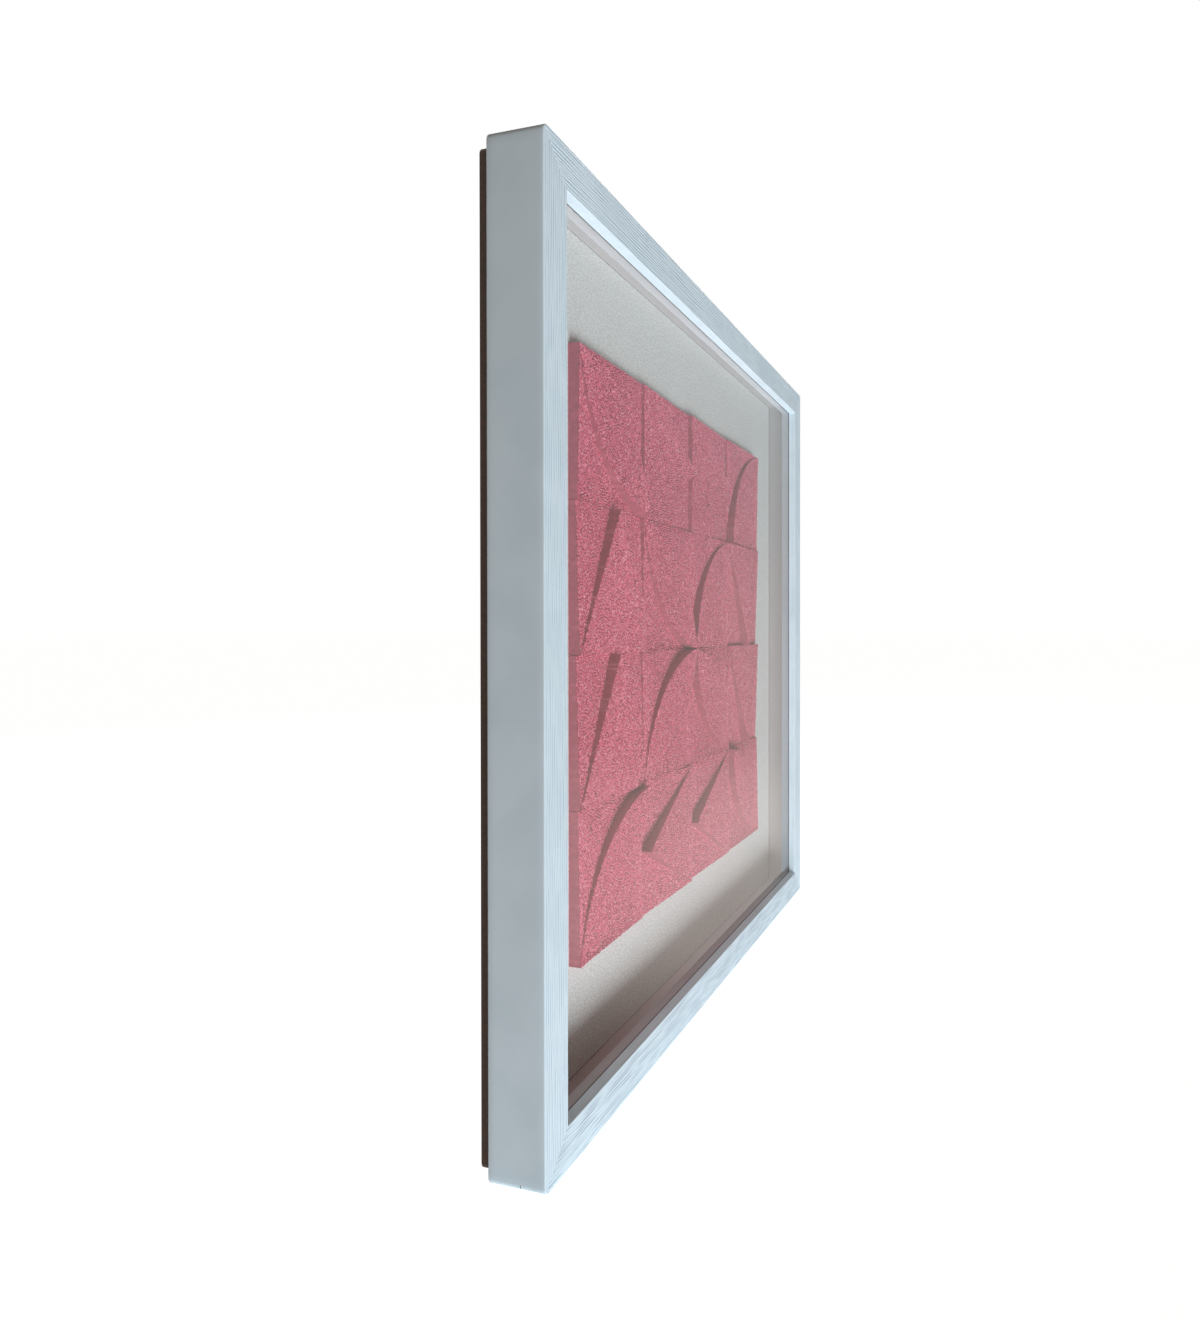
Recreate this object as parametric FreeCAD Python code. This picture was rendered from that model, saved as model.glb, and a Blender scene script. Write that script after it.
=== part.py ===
"""Square glazed box frame with a relief of packed quilled paper strips, in millimetres.

The frame stands on its bottom edge. X runs to the right along the front, Y runs from the front to the back,
Z is up. The origin is the middle of the bottom of the whole object.
"""
import FreeCAD, Part
import math
import os

from FreeCAD import Vector

# Frame moulding
FRAME_SIZE = 500.0
FRAME_DEPTH = 31.0
FACE_WIDTH = 22.0
LIP_DEPTH = 6.8
REBATE_WIDTH = 11.2
EDGE_ROUND = 0.8
CORNER_RADIUS = 2.5

# Glass pane, spacer strips and mount board in the rebate
GLASS_THICKNESS = 2.0
GLASS_CLEARANCE = 1.0
SPACER_THICKNESS = 1.6
SPACER_CLEARANCE = 0.2
BOARD_THICKNESS = 1.4
BOARD_CLEARANCE = 0.4

# Back panel, screwed on the back of the frame
PANEL_THICKNESS = 6.0
PANEL_INSET = 3.8
PANEL_CORNER_RADIUS = 4.0

# Countersunk panel screws
PANEL_SCREW_DIAMETER = 2.5
PANEL_SCREW_LENGTH = 16.0
PANEL_SCREW_HEAD_DIAMETER = 5.0
PANEL_SCREW_POINT = 3.0
PANEL_SCREWS_PER_SIDE = 3
PANEL_SCREW_FROM_EDGE = 3.5
PANEL_SCREW_FROM_CORNER = 70.0
SCREW_CLEARANCE = 0.05

# Wedges pressed into the back of the mitres
WEDGE_FROM_SIDE = 5.4
WEDGE_LEG = 5.0
WEDGE_THICKNESS = 0.6
WEDGE_HEIGHT = 10.0
WEDGE_CLEARANCE = 0.05

# Sawtooth hangers and their screws
HANGER_LENGTH = 46.0
HANGER_HEIGHT = 11.0
HANGER_THICKNESS = 0.9
HANGER_RISE = 1.4
HANGER_FOOT = 9.0
HANGER_RAMP = 2.0
TOOTH_PITCH = 3.0
TOOTH_DEPTH = 1.8
HANGER_FROM_TOP = 45.0
HANGER_FROM_SIDE = 100.0
HANGER_SCREW_DIAMETER = 2.4
HANGER_SCREW_GRIP = 4.2
HANGER_SCREW_HEAD_DIAMETER = 4.8
HANGER_SCREW_HEAD_HEIGHT = 1.3

# Soft pads that keep the bottom off the wall
PAD_DIAMETER = 10.0
PAD_THICKNESS = 3.0
PAD_FROM_SIDE = 22.0
PAD_FROM_BOTTOM = 22.0

# Paper relief: square tiles, each a low field and a raised form with sloping tops
TILE_SIZE = 87.0
FORM_GAP = 0.2
FIELD_LOW = 4.4
FIELD_HIGH = 7.2
FORM_LOW = 7.4
FORM_HIGH = 11.6
LEAF_HALF_WIDTH = 21.0

# Each row of the relief from the top: the raised form of a tile, and the way its high end points, in degrees
# anticlockwise from +X. A ring of flying geese triangles runs round two crossing chains of leaves.
LAYOUT = (
    (("leaf", 315), ("goose", 0), ("goose", 0), ("leaf", 225)),
    (("goose", 90), ("leaf", 315), ("leaf", 225), ("goose", 270)),
    (("goose", 90), ("leaf", 45), ("leaf", 135), ("goose", 270)),
    (("leaf", 45), ("goose", 180), ("goose", 180), ("leaf", 135)),
)
TILE_COUNT = len(LAYOUT)

# Planes along Y, from front to back
TOTAL_DEPTH = FRAME_DEPTH + PANEL_THICKNESS + PAD_THICKNESS
Y_FRONT = -TOTAL_DEPTH / 2
Y_GLASS = Y_FRONT + LIP_DEPTH
Y_SPACER = Y_GLASS + GLASS_THICKNESS
Y_FRAME_BACK = Y_FRONT + FRAME_DEPTH
Y_BOARD = Y_FRAME_BACK - BOARD_THICKNESS
Y_PANEL_BACK = Y_FRAME_BACK + PANEL_THICKNESS

CENTRE_Z = FRAME_SIZE / 2
WALL = FACE_WIDTH - REBATE_WIDTH
REBATE_SIZE = FRAME_SIZE - 2 * WALL
RIGHT_ANGLE = 90.0


def export(shape, node):
    """Write one node's solid, or group of solids, as a STEP file."""
    shape.exportStep(f"parts/{node}.step")


def box(x0, x1, y0, y1, z0, z1):
    """A box from its lowest to its highest corner."""
    return Part.makeBox(x1 - x0, y1 - y0, z1 - z0, Vector(x0, y0, z0))


def centred_square(size, y0, y1):
    """A square slab centred on the frame, from plane y0 to plane y1."""
    half = size / 2
    return box(-half, half, y0, y1, CENTRE_Z - half, CENTRE_Z + half)


def rounded_square(size, radius, y0, y1):
    """The same slab with its four corners rounded."""
    slab = centred_square(size, y0, y1)
    corners = [edge for edge in slab.Edges if abs(edge.tangentAt(edge.FirstParameter).y) > 0.5]
    return slab.makeFillet(radius, corners)


def turned(shape, quarter_turns):
    """Turn a shape about the middle of the frame, by quarter turns anticlockwise seen from the front."""
    copy = shape.copy()
    copy.rotate(Vector(0, 0, CENTRE_Z), Vector(0, -1, 0), RIGHT_ANGLE * quarter_turns)
    return copy


def rounded_outline(points, radii):
    """A closed wire through points, in order, with an arc of the given radius at each one."""
    edges = []
    starts = []
    ends = []
    count = len(points)
    for index, (point, radius) in enumerate(zip(points, radii)):
        before = (points[index - 1] - point).normalize()
        after = (points[(index + 1) % count] - point).normalize()
        half_angle = before.getAngle(after) / 2
        cut = radius / math.tan(half_angle)
        start = point + before * cut
        end = point + after * cut
        if radius > 0:
            inward = (before + after).normalize()
            middle = point + inward * (radius / math.sin(half_angle) - radius)
            edges.append(Part.Arc(start, middle, end).toShape())
        starts.append(start)
        ends.append(end)
    for index in range(count):
        edges.append(Part.makeLine(ends[index], starts[(index + 1) % count]))
    return Part.Wire(Part.__sortEdges__(edges))


def rail_moulding():
    """The bottom rail before its screws: an L section along X, mitred at both ends."""
    half = FRAME_SIZE / 2
    section = [
        (Y_FRONT, 0, EDGE_ROUND),
        (Y_FRAME_BACK, 0, EDGE_ROUND),
        (Y_FRAME_BACK, WALL, 0),
        (Y_GLASS, WALL, 0),
        (Y_GLASS, FACE_WIDTH, 0),
        (Y_FRONT, FACE_WIDTH, EDGE_ROUND),
    ]
    points = [Vector(-half, y, z) for y, z, _ in section]
    outline = rounded_outline(points, [radius for _, _, radius in section])
    bar = Part.Face(outline).extrude(Vector(FRAME_SIZE, 0, 0))
    mitre = Part.Face(Part.makePolygon([
        Vector(-half, Y_FRONT, 0),
        Vector(half, Y_FRONT, 0),
        Vector(0, Y_FRONT, half),
        Vector(-half, Y_FRONT, 0),
    ])).extrude(Vector(0, FRAME_DEPTH, 0))
    envelope = rounded_square(FRAME_SIZE, CORNER_RADIUS, Y_FRONT, Y_FRAME_BACK)
    return bar.common(mitre).common(envelope)


def wedge_blank(clearance):
    """One V-shaped wedge at the bottom left mitre, grown by a clearance all round its section."""
    reach = WEDGE_LEG + clearance
    wall = WEDGE_THICKNESS / 2 + clearance
    corner = Vector(WEDGE_FROM_SIDE - FRAME_SIZE / 2, Y_FRAME_BACK - WEDGE_HEIGHT, WEDGE_FROM_SIDE)
    along_rail = box(-wall, reach, 0, WEDGE_HEIGHT, -wall, wall)
    up_rail = box(-wall, wall, 0, WEDGE_HEIGHT, -wall, reach)
    wedge = along_rail.fuse(up_rail).removeSplitter()
    wedge.translate(corner)
    return wedge


def corner_wedges(clearance):
    """The four wedges, one in each mitre."""
    blank = wedge_blank(clearance)
    return [turned(blank, turn) for turn in range(4)]


def panel_screw_places():
    """The X of each panel screw along the bottom side, evenly spaced."""
    first = -FRAME_SIZE / 2 + PANEL_SCREW_FROM_CORNER
    pitch = -2 * first / (PANEL_SCREWS_PER_SIDE - 1)
    return [first + pitch * index for index in range(PANEL_SCREWS_PER_SIDE)]


def panel_screw_axis_z():
    """Screws of the bottom side stand a little inside the panel's edge, over the rail's wall."""
    return PANEL_INSET + PANEL_SCREW_FROM_EDGE


def panel_screw(clearance):
    """A countersunk screw at the origin, head flush with Y = 0, pointing towards -Y."""
    radius = PANEL_SCREW_DIAMETER / 2 + clearance
    head = PANEL_SCREW_HEAD_DIAMETER / 2 + clearance
    towards_front = Vector(0, -1, 0)
    cone = Part.makeCone(head, radius, head - radius, Vector(0, 0, 0), towards_front)
    shank_length = PANEL_SCREW_LENGTH - PANEL_SCREW_POINT
    shank = Part.makeCylinder(radius, shank_length, Vector(0, 0, 0), towards_front)
    tip = Vector(0, -shank_length, 0)
    point = Part.makeCone(radius, clearance, PANEL_SCREW_POINT, tip, towards_front)
    return cone.fuse([shank, point]).removeSplitter()


def panel_screws(clearance):
    """Every panel screw in its place, or its hole where a clearance is given."""
    one_side = []
    for x in panel_screw_places():
        screw = panel_screw(clearance)
        screw.translate(Vector(x, Y_PANEL_BACK, panel_screw_axis_z()))
        one_side.append(screw)
    return [turned(screw, turn) for turn in range(4) for screw in one_side]


def hanger_centres():
    """The middle of each hanger on the back panel, left and right as seen from the front."""
    reach = FRAME_SIZE / 2 - HANGER_FROM_SIDE
    height = FRAME_SIZE - HANGER_FROM_TOP
    return {"left": Vector(-reach, Y_PANEL_BACK, height), "right": Vector(reach, Y_PANEL_BACK, height)}


def hanger_screw_offsets():
    """The two screws of a hanger go through the middle of its feet."""
    reach = HANGER_LENGTH / 2 - HANGER_FOOT / 2
    return [Vector(-reach, 0, 0), Vector(reach, 0, 0)]


def hanger_screw(clearance):
    """A pan-head screw at the origin: its shank runs into the panel from the back of a hanger's foot."""
    radius = HANGER_SCREW_DIAMETER / 2 + clearance
    seat = HANGER_THICKNESS
    shank_length = HANGER_SCREW_GRIP + seat + clearance
    head = Part.makeCylinder(
        HANGER_SCREW_HEAD_DIAMETER / 2, HANGER_SCREW_HEAD_HEIGHT, Vector(0, seat, 0), Vector(0, 1, 0))
    shank = Part.makeCylinder(radius, shank_length, Vector(0, seat, 0), Vector(0, -1, 0))
    return head.fuse(shank).removeSplitter()


def hanger_screws(clearance):
    """Every hanger screw in its place, or its hole where a clearance is given."""
    screws = []
    for centre in hanger_centres().values():
        for offset in hanger_screw_offsets():
            screw = hanger_screw(clearance)
            screw.translate(centre + offset)
            screws.append(screw)
    return screws


def hanger(centre):
    """A sawtooth hanger: a strip with two flat feet and a raised bridge toothed along its lower edge."""
    half = HANGER_LENGTH / 2
    bridge = half - HANGER_FOOT
    flat = bridge - HANGER_RAMP
    low = HANGER_THICKNESS
    high = HANGER_RISE + HANGER_THICKNESS
    section = [
        (-half, 0), (-half, low), (-bridge, low), (-flat, high), (flat, high), (bridge, low), (half, low),
        (half, 0), (bridge, 0), (flat, HANGER_RISE), (-flat, HANGER_RISE), (-bridge, 0), (-half, 0),
    ]
    bottom = -HANGER_HEIGHT / 2
    strip = Part.Face(Part.makePolygon([Vector(x, y, bottom) for x, y in section]))
    strip = strip.extrude(Vector(0, 0, HANGER_HEIGHT))
    notch_count = int(2 * flat / TOOTH_PITCH) - 1
    for index in range(notch_count):
        x = TOOTH_PITCH * (index - (notch_count - 1) / 2)
        notch = Part.Face(Part.makePolygon([
            Vector(x - TOOTH_PITCH / 2, 0, bottom),
            Vector(x + TOOTH_PITCH / 2, 0, bottom),
            Vector(x, 0, bottom + TOOTH_DEPTH),
            Vector(x - TOOTH_PITCH / 2, 0, bottom),
        ])).extrude(Vector(0, high, 0))
        strip = strip.cut(notch)
    for offset in hanger_screw_offsets():
        hole_radius = HANGER_SCREW_DIAMETER / 2 + SCREW_CLEARANCE
        strip = strip.cut(Part.makeCylinder(hole_radius, low, offset, Vector(0, 1, 0)))
    strip.translate(centre)
    return strip


def spacers():
    """Four strips round the rebate wall: top and bottom run right across, the sides stand between them."""
    outer = REBATE_SIZE / 2 - SPACER_CLEARANCE
    inner = outer - SPACER_THICKNESS
    low = CENTRE_Z - outer
    high = CENTRE_Z + outer
    side_low = CENTRE_Z - inner
    side_high = CENTRE_Z + inner
    return {
        "top": box(-outer, outer, Y_SPACER, Y_BOARD, high - SPACER_THICKNESS, high),
        "bottom": box(-outer, outer, Y_SPACER, Y_BOARD, low, low + SPACER_THICKNESS),
        "left": box(-outer, -inner, Y_SPACER, Y_BOARD, side_low, side_high),
        "right": box(inner, outer, Y_SPACER, Y_BOARD, side_low, side_high),
    }


def tile_middle(row, column):
    """The middle of a tile on the board, rows counted from the top."""
    first = (TILE_COUNT - 1) / 2
    return Vector((column - first) * TILE_SIZE, Y_BOARD, CENTRE_Z + (first - row) * TILE_SIZE)


def standing_block(outline):
    """Extrude a closed outline that lies on the board towards the glass, past the highest form."""
    return Part.Face(outline).extrude(Vector(0, -2 * FORM_HIGH, 0))


def form_outline(name, angle, grow):
    """The plan of a leaf or a goose triangle round the middle of its tile, grown where it cuts the field."""
    direction = math.radians(angle)

    def along(distance, sideways):
        """A point at a distance towards the form's high end and a distance to the left of that way."""
        x = distance * math.cos(direction) - sideways * math.sin(direction)
        z = distance * math.sin(direction) + sideways * math.cos(direction)
        return Vector(x, 0, z)

    reach = (TILE_SIZE - FORM_GAP) / 2
    if name == "leaf":
        tip = reach * math.sqrt(2) + grow
        width = LEAF_HALF_WIDTH + grow
        sides = [along(0, width), along(0, -width)]
        arcs = [Part.Arc(along(-tip, 0), side, along(tip, 0)).toShape() for side in sides]
        return Part.Wire(Part.__sortEdges__(arcs))
    half_apex = math.atan2(reach, 2 * reach)
    apex = reach + grow / math.sin(half_apex)
    tail = -reach - grow
    base = (apex - tail) * math.tan(half_apex)
    corners = [along(tail, base), along(tail, -base), along(apex, 0)]
    return Part.makePolygon(corners + corners[:1])


def sloping_block(low, high, angle):
    """A block over one whole tile whose top rises from low to high towards an angle, tile-centred."""
    half = (TILE_SIZE - FORM_GAP) / 2
    direction = math.radians(angle)
    reach = half * (abs(math.cos(direction)) + abs(math.sin(direction)))

    def top(x, z):
        share = (x * math.cos(direction) + z * math.sin(direction) + reach) / (2 * reach)
        return low + (high - low) * share

    corners = [(-half, -half), (half, -half), (half, half), (-half, half)]
    base = [Vector(x, 0, z) for x, z in corners]
    lid = [Vector(x, -top(x, z), z) for x, z in corners]
    faces = [base, lid] + [
        [base[index], base[(index + 1) % 4], lid[(index + 1) % 4], lid[index]] for index in range(4)]
    shell = Part.Shell([Part.Face(Part.makePolygon(loop + loop[:1])) for loop in faces])
    solid = Part.Solid(shell)
    if solid.Volume < 0:
        solid.reverse()
    return solid


def tile(row, column):
    """The field and the raised form of one tile, at their place on the board."""
    name, angle = LAYOUT[row][column]
    middle = tile_middle(row, column)
    form = sloping_block(FORM_LOW, FORM_HIGH, angle).common(standing_block(form_outline(name, angle, 0)))
    field = sloping_block(FIELD_HIGH, FIELD_LOW, angle)
    field = field.cut(standing_block(form_outline(name, angle, FORM_GAP)))
    form.translate(middle)
    field.translate(middle)
    return name, field, form


def solids_of(shape):
    """The shape's solids as one group, without the wrapping that a cut leaves."""
    solids = shape.Solids
    return solids[0] if len(solids) == 1 else Part.makeCompound(solids)


os.makedirs("parts", exist_ok=True)

# Rails: the bottom rail turned into its four places, with the slots and pilot holes of what enters them
wedge_slots = corner_wedges(WEDGE_CLEARANCE)
panel_holes = panel_screws(SCREW_CLEARANCE)
for side, turn in (("bottom", 0), ("right", 1), ("top", 2), ("left", 3)):
    rail = turned(rail_moulding(), turn).cut(wedge_slots + panel_holes)
    export(solids_of(rail), f"rail_{side}")

export(Part.makeCompound(corner_wedges(0)), "corner_wedges")

# Glass, spacers and mount board
export(centred_square(REBATE_SIZE - 2 * GLASS_CLEARANCE, Y_GLASS, Y_SPACER), "glass_pane")
for side, strip in spacers().items():
    export(strip, f"spacer_{side}")
export(centred_square(REBATE_SIZE - 2 * BOARD_CLEARANCE, Y_BOARD, Y_FRAME_BACK), "mount_board")

# Relief: one node for the low field and one for the raised form of each tile
for row in range(TILE_COUNT):
    for column in range(TILE_COUNT):
        form_name, field, form = tile(row, column)
        place = f"{row + 1}{column + 1}"
        export(solids_of(field), f"field_{place}")
        export(solids_of(form), f"{form_name}_{place}")

# Back panel with its screws
panel = rounded_square(FRAME_SIZE - 2 * PANEL_INSET, PANEL_CORNER_RADIUS, Y_FRAME_BACK, Y_PANEL_BACK)
panel = panel.cut(panel_holes + hanger_screws(SCREW_CLEARANCE))
export(solids_of(panel), "back_panel")
export(Part.makeCompound(panel_screws(0)), "panel_screws")

# Hangers, their screws and the wall pads
for side, centre in hanger_centres().items():
    export(hanger(centre), f"hanger_{side}")
export(Part.makeCompound(hanger_screws(0)), "hanger_screws")
pad_x = FRAME_SIZE / 2 - PAD_FROM_SIDE
pads = []
for x in (-pad_x, pad_x):
    foot = Vector(x, Y_PANEL_BACK, PAD_FROM_BOTTOM)
    pads.append(Part.makeCylinder(PAD_DIAMETER / 2, PAD_THICKNESS, foot, Vector(0, 1, 0)))
export(Part.makeCompound(pads), "wall_pads")
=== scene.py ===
# %% [markdown]
# A framed relief of quilled paper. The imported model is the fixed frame: every rail, pane, strip and tile is
# already in its place in metres, and this lesson only gives them their surfaces. It stands on its bottom edge,
# X to the right, Y from the front to the back and Z up.

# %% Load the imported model
import math

import bmesh
import bpy
import numpy as np
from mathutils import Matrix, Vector


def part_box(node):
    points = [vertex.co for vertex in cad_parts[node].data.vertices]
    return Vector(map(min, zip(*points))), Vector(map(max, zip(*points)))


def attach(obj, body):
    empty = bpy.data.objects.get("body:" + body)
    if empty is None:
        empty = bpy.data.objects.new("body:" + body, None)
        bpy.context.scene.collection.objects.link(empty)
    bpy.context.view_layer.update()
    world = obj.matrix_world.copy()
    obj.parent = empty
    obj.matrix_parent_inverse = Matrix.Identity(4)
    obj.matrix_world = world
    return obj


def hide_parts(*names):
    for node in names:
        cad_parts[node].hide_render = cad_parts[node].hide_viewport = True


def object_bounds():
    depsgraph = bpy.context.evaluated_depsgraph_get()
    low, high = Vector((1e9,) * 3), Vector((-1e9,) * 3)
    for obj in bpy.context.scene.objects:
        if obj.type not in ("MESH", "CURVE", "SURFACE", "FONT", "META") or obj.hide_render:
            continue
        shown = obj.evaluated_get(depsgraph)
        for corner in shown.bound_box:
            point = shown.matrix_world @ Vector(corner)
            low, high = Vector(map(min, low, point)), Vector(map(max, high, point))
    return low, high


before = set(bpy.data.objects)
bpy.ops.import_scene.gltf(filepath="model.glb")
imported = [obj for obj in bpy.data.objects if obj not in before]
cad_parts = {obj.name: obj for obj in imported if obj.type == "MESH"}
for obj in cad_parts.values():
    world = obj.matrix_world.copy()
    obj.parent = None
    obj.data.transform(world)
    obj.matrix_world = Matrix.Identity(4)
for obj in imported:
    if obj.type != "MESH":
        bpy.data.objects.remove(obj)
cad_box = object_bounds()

MM = 0.001
print("nodes:", len(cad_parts))

# %% [markdown]
# The sizes below are those of the real frame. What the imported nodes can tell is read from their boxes, so that
# the surfaces follow them, and only roundings and the layout of the relief are written down again.

# %% Sizes of the frame
rail_low, rail_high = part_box("rail_bottom")
HALF = cad_box[1].x
FACE = rail_high.z - rail_low.z
Y_FRONT, Y_FRAME_BACK = rail_low.y, rail_high.y
Y_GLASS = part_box("glass_pane")[0].y
Y_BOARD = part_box("mount_board")[0].y
SPACER_CLEARANCE = 0.2 * MM
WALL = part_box("spacer_bottom")[0].z - SPACER_CLEARANCE
EDGE_ROUND = 0.8 * MM
CORNER_RADIUS = 3.6 * MM
print(f"frame {2 * HALF / MM:.0f} mm wide, face {FACE / MM:.1f} mm, wall {WALL / MM:.1f} mm")

# %% [markdown]
# The photograph looks along the glass from its left, close by, with a wide lens. Its vanishing point lies off
# the middle of the picture, which a small sideways shift of the lens gives without turning the camera.

# %% Camera at the photograph's viewing angle
PHOTO_LONG_SIDE = 1320
SENSOR = 36.0
FOCAL_PIXELS = 867.04
AIM_OFFSET = (150.0, 27.42)
CAMERA_PLACE = Vector((-0.6065, -0.2286, 0.2660))
CAMERA_YAW = 0.2968
CAMERA_PITCH = -0.0065

camera_data = bpy.data.cameras.new("camera")
camera_data.sensor_width = SENSOR
camera_data.lens = FOCAL_PIXELS * SENSOR / PHOTO_LONG_SIDE
camera_data.shift_x = -AIM_OFFSET[0] / PHOTO_LONG_SIDE
camera_data.shift_y = -AIM_OFFSET[1] / PHOTO_LONG_SIDE
camera_data.clip_start = 0.01
camera = bpy.data.objects.new("camera", camera_data)
bpy.context.scene.collection.objects.link(camera)
looking = Vector((
    math.cos(CAMERA_YAW) * math.cos(CAMERA_PITCH),
    math.sin(CAMERA_YAW) * math.cos(CAMERA_PITCH),
    math.sin(CAMERA_PITCH)))
camera.location = CAMERA_PLACE
camera.rotation_euler = looking.to_track_quat("-Z", "Y").to_euler()
bpy.context.scene.camera = camera
print(f"lens {camera_data.lens:.2f} mm")

# %% [markdown]
# Shader maths reads best as plain arithmetic. A small class wraps one socket, so that an expression such as
# 1 - mask adds its own Math nodes. A second class holds one finish: its only method for nodes takes the node's
# type, its settings and its sockets, and hands back a wrapped socket.

# %% Sockets that take part in arithmetic
class Socket:
    """One output of a shader node. Each operator adds a Math node to the same finish."""

    def __init__(self, finish, link):
        self.finish = finish
        self.link = link

    def math(self, operation, *values):
        return self.finish.node("ShaderNodeMath", {"operation": operation}, dict(enumerate(values)))

    def __add__(self, other):
        return self.math("ADD", self, other)

    def __sub__(self, other):
        return self.math("SUBTRACT", self, other)

    def __rsub__(self, other):
        return self.math("SUBTRACT", other, self)

    def __mul__(self, other):
        return self.math("MULTIPLY", self, other)

    def __truediv__(self, other):
        return self.math("DIVIDE", self, other)

    def __lt__(self, other):
        return self.math("LESS_THAN", self, other)

    def __gt__(self, other):
        return self.math("GREATER_THAN", self, other)

    def __abs__(self):
        return self.math("ABSOLUTE", self)

    __radd__ = __add__
    __rmul__ = __mul__

    def between(self, low, high):
        """0 below low, 1 above high and a smooth rise between them."""
        settings = {"interpolation_type": "SMOOTHSTEP", "clamp": True}
        return self.finish.node(
            "ShaderNodeMapRange", settings, {"Value": self, "From Min": low, "From Max": high})


# %% Finishes
class Finish:
    """One procedural material, or the surroundings when kind is the collection of worlds."""

    def __init__(self, name, kind=bpy.data.materials):
        self.owner = kind.new(name)
        self.owner.use_nodes = True
        self.tree = self.owner.node_tree
        self.tree.nodes.clear()
        self.place = self.node("ShaderNodeTexCoord", {}, {}, "Object")

    def node(self, kind, settings, sockets, output=0):
        """Add a node: its settings first, then a value or a link for each named or numbered socket."""
        made = self.tree.nodes.new(kind)
        for name, value in settings.items():
            setattr(made, name, value)
        for name, value in sockets.items():
            if isinstance(value, Socket):
                self.tree.links.new(value.link, made.inputs[name])
            else:
                made.inputs[name].default_value = value
        return Socket(self, made.outputs[output]) if made.outputs else None

    def noise(self, scale, detail=2.0, stretch=(1, 1, 1), roughness=0.5):
        """Cloudy noise from 0 to 1 over the piece's own coordinates, scale in waves per metre."""
        place = self.node("ShaderNodeMapping", {}, {"Vector": self.place, "Scale": stretch})
        sockets = {"Vector": place, "Scale": scale, "Detail": detail, "Roughness": roughness}
        return self.node("ShaderNodeTexNoise", {}, sockets)

    def spots(self, scale, radius, share):
        """Round dots, 1 inside a dot: the cells of a Voronoi pattern, of which only a share holds one."""
        sockets = {"Vector": self.place, "Scale": scale}
        distance = self.node("ShaderNodeTexVoronoi", {}, sockets)
        colour = self.node("ShaderNodeTexVoronoi", {}, sockets, "Color")
        chance = self.node("ShaderNodeSeparateColor", {}, {"Color": colour}, "Red")
        return (distance < radius * scale) * (chance < share)

    def mix(self, factor, first, second):
        """The first colour where factor is 0, the second where it is 1."""
        settings = {"data_type": "RGBA", "clamp_factor": True}
        return self.node("ShaderNodeMix", settings, {0: factor, 6: first, 7: second}, 2)

    def bump(self, height, depth, strength=1.0):
        """Relief in the normals: a height from 0 to 1 that stands for a depth in metres."""
        return self.node("ShaderNodeBump", {}, {"Height": height, "Distance": depth, "Strength": strength})

    def surface(self, **values):
        """Finish with a Principled shader. Underscores in the names stand for spaces."""
        sockets = {name.replace("_", " "): value for name, value in values.items()}
        shader = self.node("ShaderNodeBsdfPrincipled", {}, sockets)
        return self.shown(shader)

    def shown(self, shader):
        """Send a shader to the output and hand back the material."""
        self.node("ShaderNodeOutputMaterial", {}, {"Surface": shader})
        return self.owner


def rgb(red, green, blue):
    """A colour given as a screen shows it, from 0 to 255, as the linear colour that nodes take."""
    shown = np.array((red, green, blue)) / 255
    linear = np.where(shown <= 0.04045, shown / 12.92, ((shown + 0.055) / 1.055) ** 2.4)
    return (*linear.tolist(), 1.0)


PLAIN_WHITE = (1.0, 1.0, 1.0, 1.0)


# %% [markdown]
# The picture is lit as on a light table: a large soft lamp of cool light shines from below and in front through
# a pale translucent table top, so the lower lip lies in shade, the upper one is bright and every step of the
# relief throws its soft shadow upwards. Weak warm surroundings fill in the shade, and a second lamp lights the
# back. The camera, mirrors and glass see the surroundings and the table top as white.

# %% Lamps, surroundings and table top
ART_CENTRE = Vector((0.0, 0.0, HALF))
KEY_WAY = Vector((-0.37, -0.665, -0.67))
KEY_DISTANCE = 2.6
KEY_SIZE = 1.4
KEY_LEVEL = 1.0
KEY_TINT = (0.91, 1.01, 1.08)
BACK_WAY = Vector((0.35, 0.75, 0.55))
BACK_DISTANCE = 1.8
BACK_SIZE = 0.9
BACK_LEVEL = 0.55
FILL_LEVEL = 0.15
FILL_COLOUR = rgb(255, 230, 210)


def soft_lamp(name, way, distance, size, level):
    """A square lamp aimed at the picture: level 1 shows a white card that faces it as white."""
    data = bpy.data.lights.new(name, "AREA")
    data.size = size
    data.energy = level * (math.pi * distance) ** 2
    lamp = bpy.data.objects.new(name, data)
    bpy.context.scene.collection.objects.link(lamp)
    away = way.normalized()
    lamp.location = ART_CENTRE + away * distance
    lamp.rotation_euler = away.to_track_quat("Z", "Y").to_euler()
    return lamp


def shows_background(finish):
    """1 for the rays that see the surroundings: the camera's, a mirror's and those through glass."""
    kinds = ("Is Camera Ray", "Is Glossy Ray", "Is Transmission Ray")
    seen = [finish.node("ShaderNodeLightPath", {}, {}, kind) for kind in kinds]
    return seen[0].math("MAXIMUM", seen[0], seen[1].math("MAXIMUM", seen[1], seen[2]))


key_lamp = soft_lamp("key_lamp", KEY_WAY, KEY_DISTANCE, KEY_SIZE, KEY_LEVEL)
key_lamp.data.color = KEY_TINT
soft_lamp("back_lamp", BACK_WAY, BACK_DISTANCE, BACK_SIZE, BACK_LEVEL)

sky = Finish("pale surroundings", bpy.data.worlds)
bpy.context.scene.world = sky.owner
seen = shows_background(sky)
glow = sky.node("ShaderNodeBackground", {}, {
    "Color": sky.mix(seen, FILL_COLOUR, PLAIN_WHITE), "Strength": FILL_LEVEL + (1 - FILL_LEVEL) * seen})
sky.node("ShaderNodeOutputWorld", {}, {"Surface": glow})


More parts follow.
